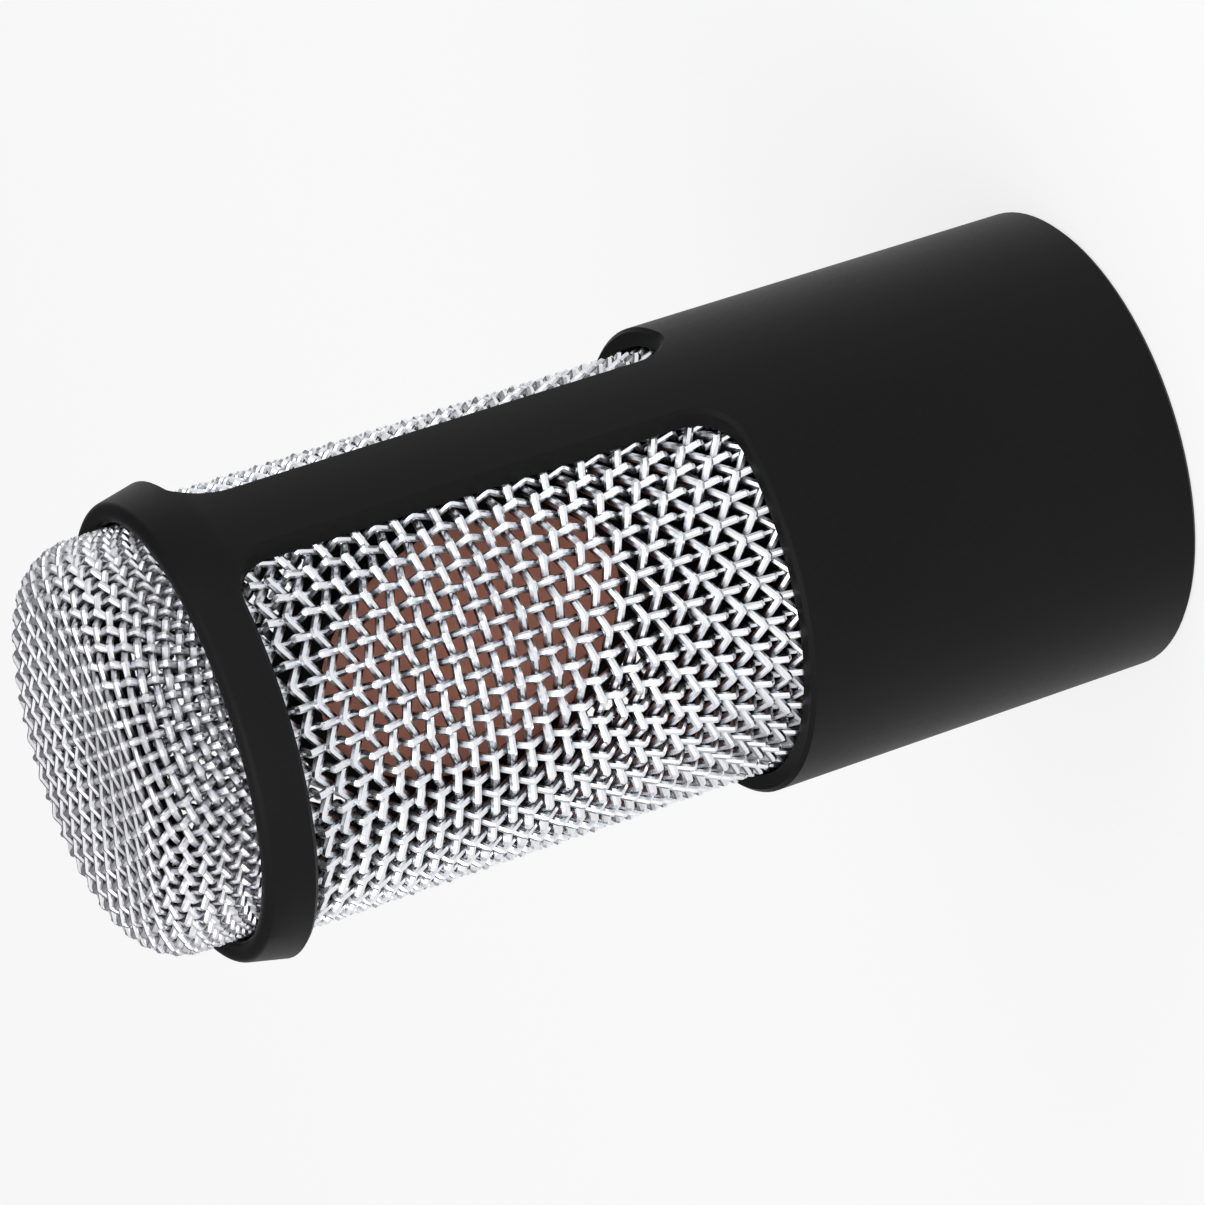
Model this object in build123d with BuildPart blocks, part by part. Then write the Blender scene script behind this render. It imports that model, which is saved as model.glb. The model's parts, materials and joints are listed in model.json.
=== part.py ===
from build123d import *
from math import atan2, cos, hypot, radians, sin, tan
import os

# Side-address studio condenser microphone, standing on its base.
# Origin: centre of the base face. +Z: towards the dome. The capsule's front faces -Y.
# Millimetres throughout.

# ---- driving dimensions -------------------------------------------------
body_r = 24.0             # housing outside
wall = 1.85               # housing wall
window_low = 43.3         # lower edge of both windows
window_high = 95.2        # upper edge of both windows
rib_half = 4.6            # half width of the two ribs between the windows
window_corner = 4.5
edge_break = 0.4          # small chamfer on outside edges
taper_angle = 13.0        # the top ring narrows by this angle
lip_r = 1.08              # roundness of the top lip
lip_centre_r = 21.9
lip_centre_z = 99.05
capsule_z = 68.5          # height of the capsule's centre
capsule_y = 1.4           # middle plane of the capsule, just behind the body's axis
face_r = 16.35            # visible radius of the diaphragm
running = 0.08            # radial clearance where the housing slides on the base flange

# ---- housing and weave --------------------------------------------------
bore_r = body_r - wall
lip_hole_r = lip_centre_r - lip_r
lip_under_z = 98.7
mesh_r = 22.0             # outermost wire crests of the side weave
mesh_thick = 0.65         # steel-equivalent thickness of the weave
mesh_low = 41.0
mesh_high = 96.5
dome_r = 20.6
dome_top = 109.6
dome_shoulder_r = 5.6
dome_shoulder_z = 103.6   # height where the dome's tube ends
flange_thick = 0.65

# ---- base ---------------------------------------------------------------
flange_low = 3.8
flange_high = 8.0
hub_r = 16.0
spigot_r = 12.0
spigot_high = 12.0
ring_gap = 0.3            # free height over and around the lock ring
clip_low = 0.7
clip_thick = 0.6
shell_r = 9.5             # three-pin connector shell
shell_in_r = 8.2
shell_high = 16.5
insert_low = 12.5
contact_r = 1.2
contact_tail_r = 1.0      # behind the shoulder that rests on the insert
contact_tip = 2.0
contact_round = 0.7
contact_tail = 19.5
contact_half = 3.81       # contacts 1 and 2 sit this far either side
contact_up = 0.55
contact_down = 3.85

# ---- inner chassis ------------------------------------------------------
rail_x = 18.9
rail_thick = 3.0
rail_deep = 7.0
screw_r = 1.25
screw_hole_r = 1.3
deck_low = 34.7
deck_high = 36.7
deck_r = 21.3
board_thick = 1.6
board_half = 19.9
board_low = 20.5
board_high = 34.3
isolator_high = 2.0
isolator_x = 7.6
foot_thick = 2.5

# ---- capsule stack, measured from its middle plane ------------------------
holder_r = 19.6
holder_half = 1.9
clamp_half = 3.0
diaphragm_thick = 0.3
spacer_thick = 0.3
plate_thick = 1.6
insulator_thick = 0.6

os.makedirs("parts", exist_ok=True)


def save(builder, label):
    """Name the finished sub-part and write it out."""
    builder.part.label = label
    export_step(builder.part, f"parts/{label}.step")


def ring(outer, inner, low, high):
    """Add a flat ring between two heights to the part being built."""
    with Locations((0, 0, low)):
        Cylinder(outer, high - low, align=(Align.CENTER, Align.CENTER, Align.MIN))
        Cylinder(inner, high - low, align=(Align.CENTER, Align.CENTER, Align.MIN), mode=Mode.SUBTRACT)


def across(radius, y_low, y_high, mode=Mode.ADD):
    """Add a disc that lies across the capsule, between two depths."""
    with Locations(Location((0, (y_low + y_high) / 2, capsule_z), (90, 0, 0))):
        Cylinder(radius, y_high - y_low, mode=mode)


# =========================================================================
# Sleeve group: lifts off the chassis
# =========================================================================
lean = radians(taper_angle)
lip_start_r = lip_centre_r + lip_r * cos(lean)
lip_start_z = lip_centre_z + lip_r * sin(lean)
taper_low_z = lip_start_z - (body_r - lip_start_r) / tan(lean)

with BuildPart() as housing_sleeve:
    with BuildSketch(Plane.XZ):
        with BuildLine():
            Polyline((bore_r, 0), (body_r - edge_break, 0), (body_r, edge_break), (body_r, taper_low_z),
                     (lip_start_r, lip_start_z))
            ThreePointArc((lip_start_r, lip_start_z), (lip_centre_r, lip_centre_z + lip_r),
                          (lip_hole_r, lip_centre_z))
            Polyline((lip_hole_r, lip_centre_z), (lip_hole_r, lip_under_z), (bore_r, lip_under_z), (bore_r, 0))
        make_face()
    revolve(axis=Axis.Z)
    # The two windows leave a flat-sided rib at each side.
    for facing in (-1, 1):
        with BuildSketch(Plane.YZ) as window:
            with Locations((facing * (rib_half + body_r), (window_low + window_high) / 2)):
                Rectangle(2 * body_r, window_high - window_low)
            fillet(window.vertices().filter_by(lambda v: abs(abs(v.X) - rib_half) < 0.01), radius=window_corner)
        extrude(amount=body_r + 1, both=True, mode=Mode.SUBTRACT)
    rims = housing_sleeve.edges().filter_by(
        lambda e: window_low - 1 < e.center().Z < window_high + 1
        and all(hypot(p.X, p.Y) > body_r - 0.3 for p in (e @ 0, e @ 0.5, e @ 1)))
    chamfer(rims.filter_by(lambda e: e.center().Z < window_high - 0.01 or e.length > 20), length=edge_break)
save(housing_sleeve, "housing_sleeve")

with BuildPart() as side_mesh:
    ring(mesh_r, mesh_r - mesh_thick, mesh_low, mesh_high)
save(side_mesh, "side_mesh")

# The dome is a short tube, a rounded shoulder and a nearly flat crown, each running smoothly into the next.
shoulder_x = dome_r - dome_shoulder_r
crown_rise = dome_top - dome_shoulder_z - dome_shoulder_r
crown_drop = (shoulder_x ** 2 - crown_rise ** 2) / (2 * crown_rise)
crown_angle = atan2(shoulder_x, crown_drop)
flange_low_z = lip_under_z - flange_thick


def shoulder_point(angle, radius):
    """Point on the dome's shoulder, at an angle from straight up."""
    return (shoulder_x + radius * sin(angle), dome_shoulder_z + radius * cos(angle))


def crown_point(angle, offset):
    """Point on the dome's crown, at an angle from straight up, moved inwards by offset."""
    radius = crown_drop + dome_top - dome_shoulder_z - offset
    return (radius * sin(angle), dome_shoulder_z - crown_drop + radius * cos(angle))


with BuildPart() as dome_mesh:
    with BuildSketch(Plane.XZ):
        with BuildLine():
            for offset in (0, mesh_thick):
                radius = dome_shoulder_r - offset
                ThreePointArc(shoulder_point(radians(90), radius), shoulder_point(radians(45), radius),
                              shoulder_point(crown_angle, radius))
                ThreePointArc(shoulder_point(crown_angle, radius), crown_point(crown_angle / 2, offset),
                              (0, dome_top - offset))
            Line((0, dome_top), (0, dome_top - mesh_thick))
            Polyline((dome_r, dome_shoulder_z), (dome_r, lip_under_z), (mesh_r, lip_under_z),
                     (mesh_r, flange_low_z), (dome_r - mesh_thick, flange_low_z),
                     (dome_r - mesh_thick, dome_shoulder_z))
        make_face()
    revolve(axis=Axis.Z)
save(dome_mesh, "dome_mesh")

with BuildPart() as dome_retainer:
    ring(bore_r, dome_r - mesh_thick - 0.6, mesh_high, flange_low_z)
save(dome_retainer, "dome_retainer")

with BuildPart() as mesh_seat_ring:
    ring(bore_r, 20.0, deck_high + ring_gap, mesh_low)
    chamfer(mesh_seat_ring.edges().group_by(Axis.Z)[0].sort_by(SortBy.RADIUS)[0], length=edge_break)
save(mesh_seat_ring, "mesh_seat_ring")

# =========================================================================
# Base
# =========================================================================
clip_seat_r = hub_r - 0.6
flange_r = bore_r - running
with BuildPart() as base_body:
    with BuildSketch(Plane.XZ):
        with BuildLine():
            Polyline((shell_r, 0), (hub_r - edge_break, 0), (hub_r, edge_break), (hub_r, clip_low),
                     (clip_seat_r, clip_low), (clip_seat_r, clip_low + clip_thick), (hub_r, clip_low + clip_thick),
                     (hub_r, flange_low), (flange_r, flange_low), (flange_r, flange_high),
                     (spigot_r, flange_high), (spigot_r, spigot_high), (shell_r, spigot_high), close=True)
        make_face()
    revolve(axis=Axis.Z)
    # Screw holes for the rails, with the heads let into the flange's underside.
    with Locations(Plane(origin=(0, 0, flange_low), z_dir=(0, 0, -1))):
        with Locations((-rail_x, 0), (rail_x, 0)):
            CounterBoreHole(radius=screw_hole_r, counter_bore_radius=2.2, counter_bore_depth=1.4, depth=20)
save(base_body, "base_body")

with BuildPart() as ring_clip:
    ring(hub_r + 0.9, clip_seat_r, clip_low, clip_low + clip_thick)
    # The clip is open at one side so that it can be spread over the hub.
    with Locations((0, hub_r, clip_low)):
        Box(5, 4, 4, mode=Mode.SUBTRACT)
save(ring_clip, "ring_clip")

with BuildPart() as lock_ring:
    ring(bore_r - ring_gap, hub_r + running, ring_gap, flange_low - ring_gap)
    # Room for the clip that keeps the ring on the hub.
    with Locations((0, 0, ring_gap)):
        Cylinder(hub_r + 1.3, clip_low + clip_thick, align=(Align.CENTER, Align.CENTER, Align.MIN),
                 mode=Mode.SUBTRACT)
    # Four blind holes take a pin spanner.
    with Locations(Plane(origin=(0, 0, ring_gap), z_dir=(0, 0, -1))):
        with PolarLocations((hub_r + bore_r) / 2, 4, start_angle=45):
            Hole(radius=1.1, depth=1.8)
    chamfer(lock_ring.edges().group_by(Axis.Z)[0].sort_by(SortBy.RADIUS)[-1], length=edge_break)
save(lock_ring, "lock_ring")

# Three-pin output connector, held in the hub.
contact_places = {1: (-contact_half, contact_up), 2: (contact_half, contact_up), 3: (0, -contact_down)}

with BuildPart() as connector_shell:
    ring(shell_r, shell_in_r, 0.3, shell_high)
    # Key rib that lines the cable's plug up.
    with Locations((0, shell_in_r - 0.5, 0.3)):
        Box(1.6, 1.4, insert_low - 0.3, align=(Align.CENTER, Align.CENTER, Align.MIN))
    # Notch that the plug's latch springs into.
    with Locations((0, -shell_in_r - 0.4, 5.0)):
        Box(3.0, 1.2, 2.4, mode=Mode.SUBTRACT)
save(connector_shell, "connector_shell")

with BuildPart() as connector_insert:
    with Locations((0, 0, insert_low)):
        Cylinder(shell_in_r, shell_high - insert_low, align=(Align.CENTER, Align.CENTER, Align.MIN))
        with Locations(*contact_places.values()):
            Cylinder(contact_tail_r, 20, mode=Mode.SUBTRACT)
save(connector_insert, "connector_insert")

for number, (x, y) in contact_places.items():
    with BuildPart() as contact:
        with Locations((x, y, contact_tip)):
            Cylinder(contact_tail_r, contact_tail - contact_tip, align=(Align.CENTER, Align.CENTER, Align.MIN))
            Cylinder(contact_r, insert_low - contact_tip, align=(Align.CENTER, Align.CENTER, Align.MIN))
        fillet(contact.edges().group_by(Axis.Z)[0], radius=contact_round)
    save(contact, f"contact_{number}")

# =========================================================================
# Inner chassis
# =========================================================================
board_y = rail_deep / 2
board_mid = (board_low + board_high) / 2

for side, x in (("left", -rail_x), ("right", rail_x)):
    with BuildPart() as base_screw:
        with Locations((x, 0, flange_low + 0.1)):
            Cylinder(2.1, 1.3, align=(Align.CENTER, Align.CENTER, Align.MIN))
            Cylinder(screw_r, 11, align=(Align.CENTER, Align.CENTER, Align.MIN))
            Box(0.6, 4, 0.7, align=(Align.CENTER, Align.CENTER, Align.MIN), mode=Mode.SUBTRACT)
    save(base_screw, f"base_screw_{side}")

    with BuildPart() as rail:
        with Locations((x, 0, flange_high)):
            Box(rail_thick, rail_deep, deck_low - flange_high, align=(Align.CENTER, Align.CENTER, Align.MIN))
        with Locations((x, 0, flange_high), (x, 0, deck_low)):
            Cylinder(screw_hole_r, 16, mode=Mode.SUBTRACT)
        with Locations(Location((x, board_y, board_mid), (90, 0, 0))):
            Cylinder(screw_hole_r - 0.25, 8, mode=Mode.SUBTRACT)
    save(rail, f"rail_{side}")

    with BuildPart() as board_screw:
        with Locations(Location((x, board_y + board_thick, board_mid), (-90, 0, 0))):
            Cylinder(1.7, 1.2, align=(Align.CENTER, Align.CENTER, Align.MIN))
            Cylinder(screw_r - 0.25, 8, align=(Align.CENTER, Align.CENTER, Align.CENTER))
            with Locations((0, 0, 1.2)):
                Box(0.6, 4, 1.2, mode=Mode.SUBTRACT)
    save(board_screw, f"board_screw_{side}")

    with BuildPart() as deck_screw:
        with Locations((x, 0, deck_high - 0.1)):
            Cylinder(2.0, 1.0, align=(Align.CENTER, Align.CENTER, Align.MAX))
            Cylinder(screw_r, 6, align=(Align.CENTER, Align.CENTER, Align.MAX))
            Box(0.6, 4.4, 0.9, mode=Mode.SUBTRACT)
    save(deck_screw, f"deck_screw_{side}")

with BuildPart() as circuit_board:
    with Locations((0, board_y, board_mid)):
        Box(2 * board_half, board_thick, board_high - board_low, align=(Align.CENTER, Align.MIN, Align.CENTER))
    with Locations(Location((-rail_x, board_y, board_mid), (90, 0, 0)),
                   Location((rail_x, board_y, board_mid), (90, 0, 0))):
        Cylinder(screw_hole_r, 8, mode=Mode.SUBTRACT)
save(circuit_board, "circuit_board")

# Output transformer: laminated core with its coil former, soldered to the front of the board.
with BuildPart() as output_transformer:
    with Locations((0, board_y, board_mid + 1.2)):
        Box(15, 8, 10, align=(Align.CENTER, Align.MAX, Align.CENTER))
    with Locations((0, board_y - 4, board_mid + 1.2)):
        Box(9, 11, 7.5)
    with Locations((0, board_y, board_mid)):
        Box(16, 8, 16, align=(Align.CENTER, Align.MIN, Align.CENTER), mode=Mode.SUBTRACT)
save(output_transformer, "output_transformer")

rear_y = board_y + board_thick
with BuildPart() as coupling_capacitor:
    with Locations((-9, rear_y, board_mid)):
        Box(11, 5, 9, align=(Align.CENTER, Align.MIN, Align.CENTER))
    fillet(coupling_capacitor.edges().filter_by(Axis.Y), radius=0.8)
save(coupling_capacitor, "coupling_capacitor")

with BuildPart() as filter_capacitor:
    with Locations(Location((4.5, rear_y, board_mid), (-90, 0, 0))):
        Cylinder(3.15, 8, align=(Align.CENTER, Align.CENTER, Align.MIN))
    fillet(filter_capacitor.edges().sort_by(Axis.Y)[-1], radius=0.5)
save(filter_capacitor, "filter_capacitor")

# The transistor's case is a short rod with one flat side.
with BuildPart() as input_transistor:
    with Locations(Location((12.5, rear_y, board_mid), (-90, 0, 0))):
        Cylinder(2.4, 4.6, align=(Align.CENTER, Align.CENTER, Align.MIN))
        with Locations((2.4, 0, 0)):
            Box(1.8, 6, 12, mode=Mode.SUBTRACT)
save(input_transistor, "input_transistor")

# One lead from each contact's tail to the board.
for number, (x, y) in contact_places.items():
    with BuildPart() as contact_lead:
        with BuildLine() as lead_path:
            Spline((x, y, contact_tail), (x * 3.1, board_y, board_low + 2.0), tangents=((0, 0, 1), (0, 1, 0.2)))
        with BuildSketch(Plane(origin=(x, y, contact_tail), z_dir=(0, 0, 1))):
            Circle(0.45)
        sweep(path=lead_path.line)
        with Locations((x * 3.1, board_y, board_low)):
            Box(3, 3, 8, align=(Align.CENTER, Align.MIN, Align.CENTER), mode=Mode.SUBTRACT)
    save(contact_lead, f"contact_lead_{number}")

bushing_y = 12.0
with BuildPart() as deck_plate:
    with Locations((0, 0, deck_low)):
        Cylinder(deck_r, deck_high - deck_low, align=(Align.CENTER, Align.CENTER, Align.MIN))
    with Locations(Plane(origin=(0, 0, deck_high))):
        with Locations((-rail_x, 0), (rail_x, 0)):
            CounterBoreHole(radius=screw_hole_r, counter_bore_radius=2.1, counter_bore_depth=1.1, depth=8)
    with Locations((-isolator_x, capsule_y, deck_low), (isolator_x, capsule_y, deck_low)):
        Cylinder(screw_hole_r - 0.25, 8, mode=Mode.SUBTRACT)
    with Locations((0, bushing_y, deck_low)):
        Cylinder(2.0, 8, mode=Mode.SUBTRACT)
save(deck_plate, "deck_plate")

with BuildPart() as deck_bushing:
    with Locations((0, bushing_y, deck_low - 0.6)):
        Cylinder(2.0, deck_high - deck_low + 1.2, align=(Align.CENTER, Align.CENTER, Align.MIN))
    with Locations((0, bushing_y, deck_high)):
        Cylinder(2.8, 0.6, align=(Align.CENTER, Align.CENTER, Align.MIN))
    with Locations((0, bushing_y, deck_low)):
        with Locations((-0.9, 0), (0.9, 0)):
            Cylinder(0.45, 12, mode=Mode.SUBTRACT)
save(deck_bushing, "deck_bushing")

# =========================================================================
# Capsule and its holder
# =========================================================================
foot_low = deck_high + isolator_high
foot_high = foot_low + foot_thick

for side, x in (("left", -isolator_x), ("right", isolator_x)):
    with BuildPart() as isolator:
        with Locations((x, capsule_y, deck_high)):
            Cylinder(2.8, isolator_high, align=(Align.CENTER, Align.CENTER, Align.MIN))
            Cylinder(screw_hole_r - 0.25, 8, mode=Mode.SUBTRACT)
    save(isolator, f"isolator_{side}")

    with BuildPart() as holder_screw:
        with Locations((x, capsule_y, foot_high)):
            Cylinder(1.9, 1.2, align=(Align.CENTER, Align.CENTER, Align.MIN))
            Cylinder(screw_r - 0.25, foot_high - deck_low - 0.2, align=(Align.CENTER, Align.CENTER, Align.MAX))
            with Locations((0, 0, 1.2)):
                Box(0.6, 4, 1.2, mode=Mode.SUBTRACT)
    save(holder_screw, f"holder_screw_{side}")

with BuildPart() as capsule_holder:
    across(holder_r, capsule_y - holder_half, capsule_y + holder_half)
    # Stem from the ring down to the foot.
    with BuildSketch(Plane.XZ.offset(-capsule_y - holder_half)):
        with BuildLine():
            Polyline((-4.5, foot_low), (4.5, foot_low), (6.5, capsule_z - holder_r + 2), (-6.5, capsule_z - holder_r + 2),
                     close=True)
        make_face()
    extrude(amount=2 * holder_half)
    with Locations((0, capsule_y, foot_low)):
        Box(20, 7, foot_thick, align=(Align.CENTER, Align.CENTER, Align.MIN))
    fillet(capsule_holder.edges().filter_by(Axis.Z).group_by(Axis.Z)[0], radius=1.5)
    across(face_r + 0.05, capsule_y - 5, capsule_y + 5, mode=Mode.SUBTRACT)
    with Locations((-isolator_x, capsule_y, foot_low), (isolator_x, capsule_y, foot_low)):
        Cylinder(screw_hole_r - 0.25, 8, mode=Mode.SUBTRACT)
save(capsule_holder, "capsule_holder")

spacer_out_r = face_r + 0.9
for side, out in (("front", -1), ("rear", 1)):

    def depths(near, far):
        """Order two distances from the capsule's middle plane along Y for this side."""
        return sorted((capsule_y + out * near, capsule_y + out * far))

    spacer_far = holder_half + spacer_thick
    diaphragm_far = spacer_far + diaphragm_thick
    with BuildPart() as spacer:
        across(spacer_out_r, *depths(holder_half, spacer_far))
        across(face_r - 0.9, *depths(holder_half, spacer_far), mode=Mode.SUBTRACT)
    save(spacer, f"spacer_{side}")

    with BuildPart() as diaphragm:
        across(spacer_out_r, *depths(spacer_far, diaphragm_far))
    save(diaphragm, f"diaphragm_{side}")

    with BuildPart() as clamp_ring:
        across(holder_r - 1.2, *depths(holder_half, clamp_half))
        across(spacer_out_r, *depths(holder_half, diaphragm_far), mode=Mode.SUBTRACT)
        across(face_r, *depths(holder_half, clamp_half), mode=Mode.SUBTRACT)
    save(clamp_ring, f"clamp_ring_{side}")

    with BuildPart() as backplate:
        across(face_r, *depths(insulator_thick / 2, insulator_thick / 2 + plate_thick))
        with Locations(Location((0, capsule_y, capsule_z), (90, 0, 0))):
            with PolarLocations(10.5, 8):
                Cylinder(0.7, 12, mode=Mode.SUBTRACT)
            with PolarLocations(5.5, 8):
                Cylinder(0.7, 12, mode=Mode.SUBTRACT)
    save(backplate, f"backplate_{side}")

    # Lead from the clamp ring's lower edge down through the deck's bushing to the board.
    lead_x = out * 0.9
    lead_top_y = capsule_y + holder_half + 0.5
    with BuildPart() as capsule_lead:
        with BuildLine() as lead_path:
            Line((lead_x, bushing_y, deck_low - 3), (lead_x, bushing_y, deck_high + 1.5))
            Spline((lead_x, bushing_y, deck_high + 1.5), (lead_x, lead_top_y + 0.6, capsule_z - holder_r + 0.2),
                   tangents=((0, 0, 1), (0, 0, 1)))
        with BuildSketch(Plane(origin=(lead_x, bushing_y, deck_low - 3), z_dir=(0, 0, 1))):
            Circle(0.4)
        sweep(path=lead_path.line)
    save(capsule_lead, f"capsule_lead_{side}")

with BuildPart() as centre_insulator:
    across(face_r, capsule_y - insulator_thick / 2, capsule_y + insulator_thick / 2)
save(centre_insulator, "centre_insulator")
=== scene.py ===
import json
import logging
from dataclasses import dataclass, field
from enum import Enum
from math import cos, pi, radians, sin

import bmesh
import bpy
import numpy as np
from mathutils import Matrix, Vector


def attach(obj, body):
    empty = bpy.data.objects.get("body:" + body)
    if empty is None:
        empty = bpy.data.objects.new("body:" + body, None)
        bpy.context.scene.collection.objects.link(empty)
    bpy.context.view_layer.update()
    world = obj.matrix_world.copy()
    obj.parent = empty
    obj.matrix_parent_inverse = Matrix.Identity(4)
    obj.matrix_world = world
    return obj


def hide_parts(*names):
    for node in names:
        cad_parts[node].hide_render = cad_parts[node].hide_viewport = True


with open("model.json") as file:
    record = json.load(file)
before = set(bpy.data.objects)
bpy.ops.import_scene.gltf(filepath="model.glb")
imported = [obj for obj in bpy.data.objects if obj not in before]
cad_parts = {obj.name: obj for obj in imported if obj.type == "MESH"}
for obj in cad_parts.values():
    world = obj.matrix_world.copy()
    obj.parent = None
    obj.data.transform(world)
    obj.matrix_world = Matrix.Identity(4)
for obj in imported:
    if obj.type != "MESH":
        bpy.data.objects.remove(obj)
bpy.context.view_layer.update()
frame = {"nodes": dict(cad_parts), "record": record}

MM = 0.001
log = logging.getLogger("studio_microphone")

SLOW_SHARE = 0.45            # part of a finish's variation that comes from its broad pattern
TONE_SPAN = (0.36, 0.64)     # pattern values that give the dark and the light colour
ROUGH_SPAN = (0.35, 0.65)    # pattern values that give the two roughnesses
WIRE_STRETCH = 14            # how much longer than wide a drawing mark on a wire is
PAINTED_SHADE_SPAN = (-0.95, 0.55)  # weave heights between which the painted shade on a wire fades from full to none
FLANK_SHADE_SHARE = 0.7            # how far a wire's flanks and underside count as lying lower in the weave, so they get more painted shade
END_CLEARANCE = 0.02         # crossings kept free of stations at a wire's ends
BLUNT_SHARE = 0.2            # part of a bend's tip that is taken off
MERGE_DISTANCE = 1e-6        # metres within which a copied node's loose points are one
TABLE_POINTS = 600           # length of the table that turns cloth distance into arc length
FLOOR_SIDES = 96
LAMP_AIM = Vector((0, 0, 0.055))


# ---- colour and node helpers ---------------------------------------------------------------------


def linear(colour: str) -> tuple[float, float, float, float]:
    """Turn an sRGB hex colour into linear light.

    Each channel c becomes c / 12.92 below 0.04045 and ((c + 0.055) / 1.055) ** 2.4 above it.

    Args:
        colour: six hex digits with a leading hash.

    Returns:
        Red, green, blue and an alpha of one.
    """
    channels = np.array([int(colour[i : i + 2], 16) for i in (1, 3, 5)]) / 255
    light = np.where(channels <= 0.04045, channels / 12.92, ((channels + 0.055) / 1.055) ** 2.4)
    return (*map(float, light), 1.0)


def add_node(
    tree: bpy.types.NodeTree, kind: str, links: dict | None = None, **settings: object
) -> bpy.types.Node:
    """Add one shader node.

    Args:
        tree: the material's or world's node tree.
        kind: the node's type name.
        links: input socket (name or number) to either an output socket or a plain value.
        settings: attributes of the node itself.

    Returns:
        The new node.
    """
    node = tree.nodes.new(kind)
    for name, value in settings.items():
        setattr(node, name, value)
    for socket, value in (links or {}).items():
        if isinstance(value, bpy.types.NodeSocket):
            tree.links.new(value, node.inputs[socket])
        else:
            node.inputs[socket].default_value = value
    return node


# ---- finishes ------------------------------------------------------------------------------------


class Pattern(Enum):
    """Which way the marks of a finish run."""

    GRAIN = "the same in every direction, as sprayed, moulded or blasted"
    TURNED = "rings round the body's axis, as left by a lathe"
    DRAWN = "lines along Z, as milled or drawn"
    WIRE = "lines along each wire, read from its UV map"
    LAYERED = "sheets stacked along X, as in a laminated core"
    TRACKS = "straight copper runs under solder mask"


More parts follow.
